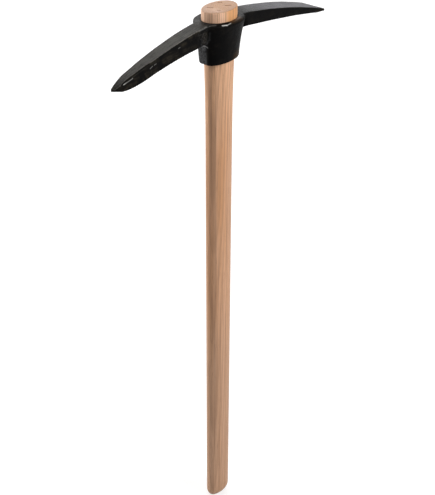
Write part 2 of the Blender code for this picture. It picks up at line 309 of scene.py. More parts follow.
class Finish:
    """A material that is put together from shader nodes by short calls."""

    def __init__(self, name: str) -> None:
        """Start a material with one Principled shader."""
        self.material = bpy.data.materials.new(name)
        self.material.use_nodes = True
        self.tree = self.material.node_tree
        self.shader = self.tree.nodes["Principled BSDF"]

    def node(self, kind: str, sockets: dict[str | int, Value], **settings: object) -> bpy.types.Node:
        """Add a node.

        Args:
            kind: The node's type.
            sockets: A value or another node's output for each input, by name or number.
            settings: The node's own properties.

        Returns:
            The new node.
        """
        made = self.tree.nodes.new(kind)
        for name, setting in settings.items():
            setattr(made, name, setting)
        for socket, value in sockets.items():
            self.feed(made.inputs[socket], value)
        return made

    def feed(self, socket: bpy.types.NodeSocket, value: Value) -> None:
        """Set an input to a value, or join it to an output."""
        if isinstance(value, bpy.types.NodeSocket):
            self.tree.links.new(value, socket)
        elif socket.type == "RGBA":
            socket.default_value = (*value, 1.0)
        else:
            socket.default_value = value

    def maths(self, operation: str, *values: Value) -> bpy.types.NodeSocket:
        """Work something out from one, two or three numbers."""
        return self.node("ShaderNodeMath", dict(enumerate(values)), operation=operation).outputs[0]

    def times(self, first: Value, second: Value) -> bpy.types.NodeSocket:
        """Multiply two numbers."""
        return self.maths("MULTIPLY", first, second)

    def vector(self, operation: str, first: Value, second: Value) -> bpy.types.NodeSocket:
        """Work something out from two vectors."""
        return self.node("ShaderNodeVectorMath", {0: first, 1: second}, operation=operation).outputs[0]

    def dot(self, first: Value, second: Value) -> bpy.types.NodeSocket:
        """How far one vector goes along another."""
        made = self.node("ShaderNodeVectorMath", {0: first, 1: second}, operation="DOT_PRODUCT")
        return made.outputs["Value"]

    def place(self) -> bpy.types.NodeSocket:
        """The point on the piece in its own metres."""
        return self.node("ShaderNodeTexCoord", {}).outputs["Object"]

    def attribute(self, name: str) -> bpy.types.NodeSocket:
        """A value that was painted on the mesh."""
        return self.node("ShaderNodeAttribute", {}, attribute_name=name).outputs["Fac"]

    def noise(self, point: Value, scale: Point, detail: float,
              roughness: float = 0.5) -> bpy.types.NodeSocket:
        """Noise between 0 and 1.

        Args:
            point: The place to read it at.
            scale: Cells in a metre along each axis.
            detail: The count of finer layers.
            roughness: How much the finer layers weigh.

        Returns:
            The noise's output.
        """
        stretched = self.vector("MULTIPLY", point, scale)
        return self.node("ShaderNodeTexNoise", {"Vector": stretched, "Scale": 1.0, "Detail": detail,
                                                "Roughness": roughness}).outputs["Fac"]

    def span(self, value: Value, low: float, high: float, to_low: float = 0.0,
             to_high: float = 1.0) -> bpy.types.NodeSocket:
        """Map a range of values smoothly to another range, and hold it there.

        Args:
            value: The number to map.
            low: The value that gives to_low.
            high: The value that gives to_high.
            to_low: The result at low.
            to_high: The result at high.

        Returns:
            The mapped value.
        """
        sockets = {"Value": value, "From Min": low, "From Max": high, "To Min": to_low, "To Max": to_high}
        return self.node("ShaderNodeMapRange", sockets, interpolation_type="SMOOTHSTEP").outputs[0]

    def blend(self, share: Value, first: Value, second: Value) -> bpy.types.NodeSocket:
        """Mix two colours."""
        made = self.node("ShaderNodeMix", {}, data_type="RGBA")
        self.feed(made.inputs["Factor"], share)
        self.feed(made.inputs[6], first)
        self.feed(made.inputs[7], second)
        return made.outputs[2]

    def bump(self, height: Value, depth: float) -> bpy.types.NodeSocket:
        """A normal from a height between 0 and 1.

        Args:
            height: The height.
            depth: What a height of 1 is in metres.

        Returns:
            The new normal.
        """
        return self.node("ShaderNodeBump", {"Height": height, "Distance": depth}).outputs["Normal"]

    def dress(self, **sockets: Value) -> bpy.types.Material:
        """Set the Principled shader's inputs, with _ for a space, and return the material."""
        for name, value in sockets.items():
            self.feed(self.shader.inputs[name.replace("_", " ")], value)
        return self.material


@dataclass(frozen=True)
class OpenGrainWood:
    """Bare hardwood: growth rings round a pith outside the bar, pores, and a darker streak."""

    pale: Colour = (0.66, 0.375, 0.225)
    warm: Colour = (0.60, 0.31, 0.155)
    dark: Colour = (0.30, 0.16, 0.09)
    pore: Colour = (0.19, 0.095, 0.05)
    grey: Colour = (0.56, 0.345, 0.225)
    # Paler colour near the head: partly the wood's tone, partly painted light.
    pale_and_lit_top: Colour = (0.82, 0.49, 0.30)
    end: Colour = (0.41, 0.215, 0.115)
    stain: Colour = (0.24, 0.155, 0.11)
    sawn_pale: Colour = (0.95, 0.60, 0.405)
    sawn_warm: Colour = (0.69, 0.34, 0.135)
    # Dark for scuffs and for the painted shade on the butt.
    scuff_and_shade: Colour = (0.085, 0.07, 0.06)
    painted_slot_shade: Colour = (0.22, 0.115, 0.07)
    pith: Point = (30 * MM, 36 * MM, 0.0)
    ring_width: float = 3.0 * MM
    ring_lean: float = 0.016
    roughness: float = 0.6
    specular: float = 0.3
    sheen: float = 0.22
    sheen_roughness: float = 0.3
    grain_depth: float = 0.16 * MM
    end_grain_share: float = 0.8
    mark_share: float = 0.7

    @staticmethod
    def marks(finish: Finish, place: Value, handle: "OvalHandle") -> bpy.types.NodeSocket:
        """Where the slots in the handle's top lie: near their lines, and near the top."""
        total = 0.0
        for x, y, heading, length in handle.MARKS:
            moved = finish.vector("SUBTRACT", place, (x * MM, y * MM, 0))
            cos, sin = math.cos(math.radians(heading)), math.sin(math.radians(heading))
            along = finish.maths("ABSOLUTE", finish.dot(moved, (cos, sin, 0)))
            aside = finish.maths("ABSOLUTE", finish.dot(moved, (-sin, cos, 0)))
            end = 0.5 * length * MM
            slot = finish.times(finish.span(aside, 0.5 * MM, 1.4 * MM, 1.0, 0.0),
                                finish.span(along, end - 1 * MM, end + 0.3 * MM, 1.0, 0.0))
            total = finish.maths("MAXIMUM", slot, total)
        height = finish.dot(place, (0, 0, 1))
        near_top = finish.span(height, handle.length - 4 * MM, handle.length - 3 * MM)
        return finish.times(total, near_top)

    def make(self, handle: "OvalHandle") -> bpy.types.Material:
        """Build the material for a handle."""
        finish = Finish("bare_open_grain_wood")
        place = finish.place()
        bend = finish.node("ShaderNodeTexNoise", {"Vector": finish.vector("MULTIPLY", place, (9, 9, 2.2)),
                                                  "Scale": 1.0, "Detail": 2.0}).outputs["Color"]
        shift = finish.vector("MULTIPLY", finish.vector("SUBTRACT", bend, (0.5, 0.5, 0.5)),
                              (12 * MM, 12 * MM, 0))
        bent = finish.vector("ADD", finish.vector("SUBTRACT", place, self.pith), shift)
        parts = finish.node("ShaderNodeSeparateXYZ", {0: bent})
        flat = finish.node("ShaderNodeCombineXYZ", {"X": parts.outputs["X"], "Y": parts.outputs["Y"]})
        reach = finish.node("ShaderNodeVectorMath", {0: flat.outputs[0]}, operation="LENGTH").outputs["Value"]
        lean = finish.times(parts.outputs["Z"], self.ring_lean)
        rings = finish.maths("DIVIDE", finish.maths("ADD", reach, lean), self.ring_width)
        ring = finish.maths("FRACT", rings)
        early = finish.times(finish.span(ring, 0.0, 0.18), finish.span(ring, 0.75, 0.2))
        broad = finish.noise(place, (34, 34, 1.6), 3.0)
        hue = finish.noise(place, (60, 60, 3.0), 2.0)
        streaks = finish.noise(place, (640, 640, 6), 4.0, 0.7)
        lines = finish.noise(place, (300, 300, 2.5), 2.0, 0.6)
        pores = finish.noise(place, (1500, 1500, 38), 2.0, 0.6)
        base = finish.blend(finish.span(hue, 0.35, 0.65), self.pale, self.warm)
        base = finish.blend(finish.times(finish.attribute("greyed"), 0.6), base, self.grey)
        # Paler towards the head, partly painted light that lifts the shade below the head; the part above the
        # eye gets its own tones.
        pale_and_lit_top = finish.attribute("pale_and_lit_top")
        sawn = finish.span(pale_and_lit_top, 0.55, 0.9)
        right = finish.span(finish.dot(place, (1, 0, 0)), -16 * MM, -3 * MM)
        newest = finish.blend(sawn, self.pale_and_lit_top, finish.blend(right, self.sawn_pale, self.sawn_warm))
        base = finish.blend(pale_and_lit_top, base, newest)
        clean = finish.span(pale_and_lit_top, 0.55, 0.9, 1.0, 0.5)
        shade = finish.times(finish.span(broad, 0.56, 0.74, 0.0, 0.28), clean)
        base = finish.blend(shade, base, self.dark)
        base = finish.blend(finish.times(finish.attribute("stain"), 0.34), base, self.stain)
        base = finish.blend(finish.times(finish.times(early, 0.3), clean), base, self.dark)
        lined = finish.times(finish.span(lines, 0.56, 0.66, 0.0, 0.34), clean)
        base = finish.blend(lined, base, self.dark)
        base = finish.blend(finish.span(streaks, 0.44, 0.68, 0.0, 0.6), base, self.dark)
        base = finish.blend(finish.span(pores, 0.60, 0.74, 0.0, 0.65), base, self.pore)
        across = finish.times(finish.attribute("end_grain"), self.end_grain_share)
        base = finish.blend(across, base, self.end)
        # Painted shade: the slots in the top and a thin lip round them are darker.
        slots = finish.times(self.marks(finish, place, handle), self.mark_share)
        base = finish.blend(slots, base, self.painted_slot_shade)
        # Scuffs below the head, and painted shade on the butt.
        base = finish.blend(finish.attribute("scuff_and_shade"), base, self.scuff_and_shade)
        grain = finish.maths("SUBTRACT", streaks, finish.span(pores, 0.58, 0.72, 0.0, 0.8))
        normal = finish.bump(grain, self.grain_depth)
        return finish.dress(Base_Color=base, Roughness=self.roughness, Specular_IOR_Level=self.specular,
                            Sheen_Weight=self.sheen, Sheen_Roughness=self.sheen_roughness, Normal=normal)


@dataclass(frozen=True)
class BlackenedSteel:
    """Forged steel under thin black paint, with painted sheen on top, painted highlights, and bare metal on
    worn edges that is partly painted highlight.
    """

    paint: Colour = (0.0024, 0.0023, 0.0024)
    thin_paint: Colour = (0.022, 0.0185, 0.0135)
    # Lighter greys on the top faces: painted sheen from above, warmer on the pick, cooler on the chisel.
    painted_top_sheen: Colour = (0.094, 0.090, 0.083)
    painted_top_sheen_cool: Colour = (0.087, 0.083, 0.099)
    # Grey of forge scale, also used for painted reflections and highlights at the collar's end and the arms'
    # roots.
    scale: Colour = (0.20, 0.20, 0.205)
    # Brown for rust and for the painted reflection of the wood.
    rust_and_reflection: Colour = (0.10, 0.052, 0.022)
    bare: Colour = (0.20, 0.19, 0.168)
    # Near-white for painted highlights, laid on as polished bare steel.
    glint_colour: Colour = (0.62, 0.61, 0.58)
    ior: float = 1.10
    specular: float = 0.37
    scale_depth: float = 0.25 * MM
    rubbed_metal: float = 0.25
    shining_metal: float = 0.9

    def make(self) -> bpy.types.Material:
        """Build the material."""
        finish = Finish("worn_black_paint_on_steel")
        place = finish.place()
        patches = finish.noise(place, (70, 70, 70), 4.0, 0.6)
        scale = finish.noise(place, (420, 420, 420), 5.0, 0.6)
        grit = finish.noise(place, (1900, 1900, 1900), 2.0)
        side = finish.node("ShaderNodeSeparateXYZ", {0: place}).outputs["X"]
        beyond = finish.span(side, -20 * MM, 45 * MM)
        drawn = finish.noise(place, (22, 330, 330), 3.0, 0.6)
        thin = finish.times(finish.span(patches, 0.42, 0.62),
                            finish.span(drawn, 0.38, 0.62, 0.15, 1.0))
        # Less of the thin brown paint from the pick's root on: the collar and the chisel come out darker, as
        # painted shade.
        thin = finish.times(thin, finish.span(side, -48 * MM, -34 * MM, 1.0, 0.22))
        base = finish.blend(thin, self.paint, self.thin_paint)
        # Painted sheen: the top faces are lighter grey in uneven patches, and cooler beyond the eye.
        uneven = finish.times(finish.span(scale, 0.25, 0.7, 0.7, 1.2),
                              finish.span(drawn, 0.3, 0.7, 0.7, 1.22))
        greyed = finish.times(finish.attribute("painted_top_sheen"), uneven)
        base = finish.blend(greyed, base, finish.blend(beyond, self.painted_top_sheen, self.painted_top_sheen_cool))
        # Grey scale, partly painted reflection and highlight.
        scale_and_glare_share = finish.times(finish.attribute("scale_and_glare"), finish.span(scale, 0.3, 0.65, 0.4, 1.25))
        base = finish.blend(scale_and_glare_share, base, self.scale)
        # Rust, and the painted reflection of the wood on the front land.
        rust_and_reflection_share = finish.times(finish.attribute("rust_and_reflection"), finish.span(grit, 0.3, 0.7, 0.5, 1.0))
        base = finish.blend(rust_and_reflection_share, base, self.rust_and_reflection)
        # Bare metal on worn edges, partly painted highlight.
        edge_rub_and_glint = finish.times(finish.attribute("edge_wear_and_glint"), finish.span(scale, 0.3, 0.55, 0.35, 1.0))
        base = finish.blend(edge_rub_and_glint, base, self.bare)
        # Painted highlights: glints and short bright lines, partly bare polished metal.
        painted_glint = finish.attribute("painted_glint")
        base = finish.blend(painted_glint, base, self.glint_colour)
        metal = finish.maths("MAXIMUM", finish.times(edge_rub_and_glint, self.rubbed_metal),
                             finish.times(painted_glint, self.shining_metal))
        rough = finish.maths("ADD", finish.span(scale, 0.3, 0.7, 0.34, 0.5),
                             finish.span(patches, 0.3, 0.7, 0.0, 0.08))
        height = finish.maths("ADD", scale, finish.times(grit, 0.25))
        normal = finish.bump(height, self.scale_depth)
        return finish.dress(Base_Color=base, Metallic=metal, Roughness=rough, IOR=self.ior,
                            Specular_IOR_Level=self.specular, Normal=normal)


# The handle


def turns_round(count: int) -> list[float]:
    """Angles of a count of points round an oval."""
    return [2 * math.pi * i / count for i in range(count)]


def quarter_turn(count: int) -> list[float]:
    """Angles of a count of steps round an edge, from 0 to a right angle."""
    return [0.5 * math.pi * step / count for step in range(count + 1)]


def oval(long_radius: float, short_radius: float, z: float, count: int) -> list[Point]:
    """Points round a level ellipse.

    Args:
        long_radius: The radius along the head.
        short_radius: The radius across it.
        z: The height.
        count: How many points.

    Returns:
        The points, anticlockwise seen from above.
    """
    return [(long_radius * math.cos(turn), short_radius * math.sin(turn), z) for turn in turns_round(count)]


@dataclass
class OvalHandle:
    """The straight oval bar: rounded butt, long shaft, a swell, and a flared top above the eye.

    A mark is a slot in the top: the place of its middle in millimetres, the heading of its long way in
    degrees and its length in millimetres.
    A scuff is a turn round the bar in degrees, a height in metres, a width and a height in millimetres,
    and a depth of tone from 0 to 1.
    """

    MARKS = ((-11.0, 7.7, 125, 9.7), (11.9, -5.8, 138, 9.8), (-11.6, -8.4, 125, 5.8), (13.5, 10.2, 125, 7.5))
    SCUFFS = ((199, 0.820, 2.6, 1.4, 0.75), (303, 0.814, 1.6, 1.2, 0.6), (188, 0.819, 1.2, 0.8, 0.4))

    length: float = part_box("handle")[1].z
    top_long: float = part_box("handle")[1].x
    top_short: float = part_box("handle")[1].y
    butt_long: float = 23.8 * MM
    butt_short: float = 14.6 * MM
    butt_edge_width: float = 10 * MM
    butt_edge_height: float = 14 * MM
    grip_long: float = 24.8 * MM
    grip_short: float = 15.4 * MM
    swell_length: float = 125 * MM
    neck_long: float = 27.0 * MM
    neck_short: float = 17.0 * MM
    top_edge: float = 1.5 * MM
    proud: float = 15 * MM
    eye_depth: float = 60 * MM
    facets: int = 144
    ring_gap: float = 4 * MM
    edge_steps: int = 10
    mark_width: float = 1.8 * MM
    mark_depth: float = 1.5 * MM
    mark_facets: int = 24
    mark_foot: float = 0.3
    mark_mouth: float = 0.7
    sharp_fold: float = math.radians(40)
    streak_turn: float = math.radians(207)
    streak_width: float = math.radians(4.5)
    seed: int = 5

    @property
    def eye_top(self) -> float:
        """Height of the eye's top face."""
        return self.length - self.proud

    @property
    def eye_bottom(self) -> float:
        """Height of the eye's lower rim."""
        return self.eye_top - self.eye_depth

    def radii(self, z: float) -> tuple[float, float]:
        """Long and short radius of the oval at a height, without the rounded ends."""
        swell_start = self.eye_bottom - self.swell_length
        if z <= swell_start:
            share = clamp((z - self.butt_edge_height) / (swell_start - self.butt_edge_height))
            return mix(self.butt_long, self.grip_long, share), mix(self.butt_short, self.grip_short, share)
        if z <= self.eye_bottom:
            share = ((z - swell_start) / self.swell_length) ** 2
            return mix(self.grip_long, self.neck_long, share), mix(self.grip_short, self.neck_short, share)
        share = clamp((z - self.eye_bottom) / self.eye_depth)
        return mix(self.neck_long, self.top_long, share), mix(self.neck_short, self.top_short, share)

    def ring(self, z: float, inset: float = 0.0) -> list[Point]:
        """One oval ring at a height, pulled in by inset."""
        long_radius, short_radius = self.radii(z)
        return oval(long_radius - inset, short_radius - inset, z, self.facets)

    def rings(self) -> list[list[Point]]:
        """All rings, from the butt to the top."""
        made = []
        for angle in quarter_turn(self.edge_steps):
            inset = self.butt_edge_width * (1 - math.sin(angle))
            made.append(oval(self.butt_long - inset, self.butt_short - inset,
                             self.butt_edge_height * (1 - math.cos(angle)), self.facets))
        last = self.length - self.top_edge
        count = round((last - self.butt_edge_height) / self.ring_gap)
        made += [self.ring(mix(self.butt_edge_height, last, step / count)) for step in range(1, count)]
        for angle in quarter_turn(self.edge_steps):
            height = last + self.top_edge * math.sin(angle)
            made.append(self.ring(height, self.top_edge * (1 - math.cos(angle))))
        return made

    def mark(self, x: float, y: float, heading: float, length: float) -> bpy.types.Object:
        """One slot that the lathe's driving centre leaves in the top, as a closed shape to cut away."""
        turn = (Matrix.Translation((x * MM, y * MM, self.length))
                @ Matrix.Rotation(math.radians(heading), 4, "Z"))
        straight = (length * MM - self.mark_width) / 2
        rings = []
        ends = ((-self.mark_depth, self.mark_foot), (self.mark_depth, self.mark_mouth))
        for level, share in ends:
            radius = share * self.mark_width
            places = ((radius * math.cos(a), radius * math.sin(a)) for a in turns_round(self.mark_facets))
            rings.append([tuple(turn @ Vector((along + math.copysign(straight, along), aside, level)))
                          for along, aside in places])
        return skin("driving_mark", rings)

    def weather(self, relief: Relief) -> None:
        """Paint the paler top, partly painted light, the greyer bottom, the end grain, the stained streak,
        the scuffs and the painted shade at the butt.
        """
        points = relief.points
        z = points[:, 2]
        turn = np.arctan2(points[:, 1], points[:, 0]) % (2 * math.pi)
        noise = LatticeNoise(self.seed)
        # Paler from 0.66 m up, partly painted light under the head, and more above the eye.
        relief.paint("pale_and_lit_top", 0.5 * ease(z, 0.66, 0.80) + 0.45 * ease(z, self.eye_top - 5 * MM, self.eye_top))
        relief.paint("end_grain", ease(relief.normals()[:, 2], 0.6, 0.9))
        relief.paint("greyed", ease(z, 0.48, 0.24))
        wander = 0.06 * noise.sample(points * (0, 0, 1), 90 * MM)
        streak = np.exp(-((turn - self.streak_turn - wander) / self.streak_width) ** 2)
        relief.paint("stain", streak * ease(z, 0.79, 0.72) * ease(z, 0.03, 0.2))
        # Painted shade: the lowest millimetres of the butt are darker, where its round turns under.
        butt_shade = 0.5 * ease(z, 7 * MM, 0.5 * MM) * (0.6 + 0.4 * noise.sample(points, 3 * MM))
        scuffs = sum(depth * np.exp(-((turn - math.radians(at)) * self.neck_long / (wide * MM)) ** 2
                                    - ((z - level) / (tall * MM)) ** 2)
                     for at, level, wide, tall, depth in self.SCUFFS)
        relief.paint("scuff_and_shade", butt_shade + scuffs * (0.75 + 0.25 * noise.sample(points, 1.3 * MM)))

    def build(self) -> bpy.types.Object:
        """Make the handle's mesh, dress it and let it ride."""
        handle = skin("turned_handle", self.rings())
        for mark in self.MARKS:
            combine(handle, "DIFFERENCE", self.mark(*mark))
        relief = Relief(handle)
        self.weather(relief)
        handle.data.shade_smooth()
        handle.data.set_sharp_from_angle(angle=self.sharp_fold)
        handle.data.materials.append(OpenGrainWood().make(self))
        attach(handle, Body.HANDLE.value)
        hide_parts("handle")
        log.info("handle: %d faces", len(handle.data.polygons))
        return handle


# The head


@dataclass
class Eye:
    """The tapered oval socket with its hanging collar."""

    handle: OvalHandle
    clearance: float = 0.3 * MM
    top_slope: float = 0.04
    end_wall_top: float = 14.0 * MM
    side_wall_top: float = 8.0 * MM
    end_wall_bottom: float = 7.9 * MM
    side_wall_bottom: float = 3.9 * MM
    flare_power: float = 2.2
    squareness: float = 2.15
    end_flat: float = 2.2 * MM
    front_land: float = 2.5 * MM
    front_drop: float = 5 * MM
    back_rim: float = 1.2 * MM
    bottom_edge: float = 1.3 * MM
    bore_overrun: float = 12 * MM
    facets: int = 160
    steps: int = 40
    edge_steps: int = 8

    @property
    def end_x(self) -> float:
        """How far the eye's outside reaches along the head."""
        return self.handle.top_long + self.clearance + self.end_wall_top

    def top(self, x: float) -> float:
        """Height of the eye's top face, which falls towards the chisel."""
        return self.handle.eye_top - self.top_slope * x

    def share(self, z: float) -> float:
        """The share of the eye's depth that a height stands for."""
        return clamp((z - self.handle.eye_bottom) / self.handle.eye_depth)

    def radii(self, share: float) -> Oval:
        """Long and short outer radius at a share of the depth."""
        inner_long, inner_short = self.handle.radii(mix(self.handle.eye_bottom, self.handle.eye_top, share))
        flare = share ** self.flare_power
        return (inner_long + self.clearance + mix(self.end_wall_bottom, self.end_wall_top, flare),
                inner_short + self.clearance + mix(self.side_wall_bottom, self.side_wall_top, flare))

    def squared(self, part: float) -> float:
        """A sine or cosine on an oval that is fuller at its corners than an ellipse."""
        return math.copysign(abs(part) ** (2 / self.squareness), part)

    def point(self, turn: float, share: float, radii: Oval) -> Point:
        """A point on an oval that is cut flat at its ends, at a share of the depth."""
        reach = radii[0] - self.end_flat
        x = max(-reach, min(reach, radii[0] * self.squared(math.cos(turn))))
        return x, radii[1] * self.squared(math.sin(turn)), mix(self.handle.eye_bottom, self.top(x), share)

    def ring(self, share: float, inset: float = 0.0) -> list[Point]:
        """One outer ring at a share of the depth, pulled in by inset."""
        long_radius, short_radius = self.radii(share)
        radii = (long_radius - inset, short_radius - inset)
        return [self.point(turn, share, radii) for turn in turns_round(self.facets)]

    def land(self, front: float) -> Oval:
        """Long and short radius of the flat land round the hole, at the back, 0, or at the front, 1."""
        handle = self.handle
        end = mix(self.end_wall_top - self.back_rim, self.front_land, front)
        side = mix(self.side_wall_top - self.back_rim, self.front_land, front)
        return handle.top_long + self.clearance + end, handle.top_short + self.clearance + side

    def rim_point(self, turn: float, angle: float) -> Point:
        """A point of the top rim's round, from the wall, at angle 0, to the land, at a right angle."""
        front = (1 - math.sin(turn)) / 2
        front = front ** 2 * (3 - 2 * front)
        drop = mix(self.back_rim, self.front_drop, front) * (1 - math.sin(angle))
        share = 1 - drop / self.handle.eye_depth
        wall, land = self.radii(share), self.land(front)
        inwards = 1 - math.cos(angle)
        radii = (mix(wall[0], land[0], inwards), mix(wall[1], land[1], inwards))
        return self.point(turn, share, radii)

    def collar(self) -> bpy.types.Object:
        """The eye's outside as a closed shape."""
        rings = []
        for angle in quarter_turn(self.edge_steps):
            share = self.bottom_edge * (1 - math.cos(angle)) / self.handle.eye_depth
            rings.append(self.ring(share, self.bottom_edge * (1 - math.sin(angle))))
        first = self.bottom_edge / self.handle.eye_depth
        last = 1 - self.front_drop / self.handle.eye_depth
        rings += [self.ring(mix(first, last, step / self.steps)) for step in range(1, self.steps)]
        for angle in quarter_turn(self.edge_steps):
            rings.append([self.rim_point(turn, angle) for turn in turns_round(self.facets)])
        return skin("collar", rings)

    def bore(self) -> bpy.types.Object:
        """The tapered hole as a closed shape."""
        handle = self.handle
        rings = []
        for z in (handle.eye_bottom - self.bore_overrun, handle.eye_top + self.bore_overrun):
            share = (z - handle.eye_bottom) / handle.eye_depth
            long_radius = mix(handle.neck_long, handle.top_long, share) + self.clearance
            short_radius = mix(handle.neck_short, handle.top_short, share) + self.clearance
            rings.append(oval(long_radius, short_radius, z, self.facets))
        return skin("bore", rings)


@dataclass
class Arm:
    """What both arms share: how they run out of the eye and how their section is rounded."""

    eye: Eye
    reach: float
    drop: float
    bow: float
    root_height: float
    root_width: float
    end_length: float
    side: int
    edge: float = 1.3 * MM
    top_set: float = 0.25 * MM
    side_blend: float = 5 * MM
    fillet: float = 10 * MM
    fillet_foot: float = 9 * MM
    largest_edge_share: float = 0.4
    steps: int = 48
    corner_steps: int = 4

    def along(self, distance: float) -> float:
        """The share of the arm's own length at a distance from the handle."""
        return clamp((distance - self.eye.end_x) / (self.reach - self.eye.end_x))

    def crest(self, distance: float) -> float:
        """Height of the arm's top face, which droops in a bow."""
        along = self.along(distance)
        start = self.eye.top(self.side * min(distance, self.eye.end_x)) - self.top_set
        return start - self.drop * along + 4 * self.bow * along * (1 - along)

    def section(self, distance: float) -> tuple[float, float, float]:
        """Top, height and width of the arm at a distance, away from the eye."""
        raise NotImplementedError

    def side_reach(self, width: float, distance: float, radii: Oval) -> float:
        """How far the arm's side lies from its middle, where it flows into an oval of the eye."""
        power = self.eye.squareness
        wall = radii[1] * max(1 - (distance / radii[0]) ** power, 0) ** (1 / power)
        wall = min(wall, width / 2 + self.side_blend) - self.top_set
        overlap = max(self.side_blend - abs(width / 2 - wall), 0)
        return max(width / 2, wall) + overlap ** 2 / (4 * self.side_blend)

    def ring(self, distance: float) -> list[Point]:
        """A four-sided ring with rounded corners, filleted to the eye where it is near."""
        top, height, width = self.section(distance)
        foot_x = self.eye.radii(self.eye.share(top - height - self.fillet))[0] - self.eye.end_flat
        near = clamp((foot_x + self.fillet - distance) / self.fillet)
        height += self.fillet * (1 - math.sqrt(1 - near ** 2))
        back = self.side_reach(width, distance, self.eye.land(0))
        front = self.side_reach(width, distance, self.eye.land(1))
        foot = self.side_reach(width, distance, self.eye.radii(self.eye.share(top - height)))
        foot = mix(foot, self.fillet_foot / 2, near ** 2)
        radius = min(self.edge, self.largest_edge_share * min(height, 2 * back, 2 * foot))
        corners = ((back, top, 1, 1), (-front, top, -1, 1),
                   (-foot, top - height, -1, -1), (foot, top - height, 1, -1))
        points = []
        for number, (y, z, across, up) in enumerate(corners):
            for step in range(self.corner_steps + 1):
                angle = 0.5 * math.pi * (number + step / self.corner_steps)
                points.append((self.side * distance, y + radius * (math.cos(angle) - across),
                               z + radius * (math.sin(angle) - up)))
        return points

    def rings(self) -> list[list[Point]]:
        """The rings from inside the eye to the arm's end."""
        inside = self.eye.handle.neck_long + self.eye.clearance
        stops = (inside, self.eye.end_x + self.fillet, self.reach - self.end_length, self.reach)
        places = [mix(start, end, step / self.steps) for start, end in zip(stops, stops[1:-1])
                  for step in range(self.steps)]
        places += [mix(*stops[2:], math.sin(0.5 * math.pi * step / self.steps)) for step in range(self.steps)]
        return [self.ring(distance) for distance in (*places, self.reach)]


@dataclass
class PickArm(Arm):
    """The square arm that droops to a four-sided point with a blunt nose."""

    reach: float = -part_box("head")[0].x
    drop: float = 33.35 * MM
    bow: float = 4.4 * MM
    root_height: float = 26.1 * MM
    root_width: float = 24.2 * MM
    end_length: float = 71 * MM
    side: int = -1
    shoulder_height: float = 20.3 * MM
    shoulder_width: float = 19.8 * MM
    point_height: float = 7.8 * MM
    point_width: float = 13.0 * MM
    point_power: float = 2.5
    nose_length: float = 28 * MM
    nose_share: float = 0.55
    nose_droop: float = 0.74

    def section(self, distance: float) -> tuple[float, float, float]:
        """Top, height and width, which taper to the shoulder, the point and the nose."""
        shoulder = self.reach - self.end_length
        taper = clamp((distance - self.eye.end_x) / (shoulder - self.eye.end_x))
        point = clamp((distance - shoulder) / self.end_length)
        nose = clamp((distance - self.reach + self.nose_length) / self.nose_length)
        slimness = math.sqrt(1 - (1 - self.nose_share ** 2) * nose ** 2)
        width = mix(mix(self.root_width, self.shoulder_width, taper), self.point_width, point)
        height = mix(mix(self.root_height, self.shoulder_height, taper), self.point_height,
                     point ** self.point_power)
        top = self.crest(distance) - self.nose_droop * height * (1 - slimness)
        return top, height * slimness, width * slimness


@dataclass
class ChiselArm(Arm):
    """The flat arm that widens and thins to its cutting edge."""

    reach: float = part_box("head")[1].x
    drop: float = 45.3 * MM
    bow: float = 4.4 * MM
    root_height: float = 20.4 * MM
    root_width: float = 31.5 * MM
    end_length: float = 19 * MM
    side: int = 1
    edge_width: float = 42.8 * MM
    heel_height: float = 7.7 * MM
    taper_power: float = 1.4
    edge_height: float = 3.6 * MM

    def section(self, distance: float) -> tuple[float, float, float]:
        """Top, height and width, which thin to the heel of the bevel and then to the edge."""
        heel = self.reach - self.end_length
        taper = clamp((distance - self.eye.end_x) / (heel - self.eye.end_x))
        height = mix(mix(self.root_height, self.heel_height, taper ** self.taper_power), self.edge_height,
                     clamp((distance - heel) / self.end_length))
        return self.crest(distance), height, mix(self.root_width, self.edge_width, self.along(distance))


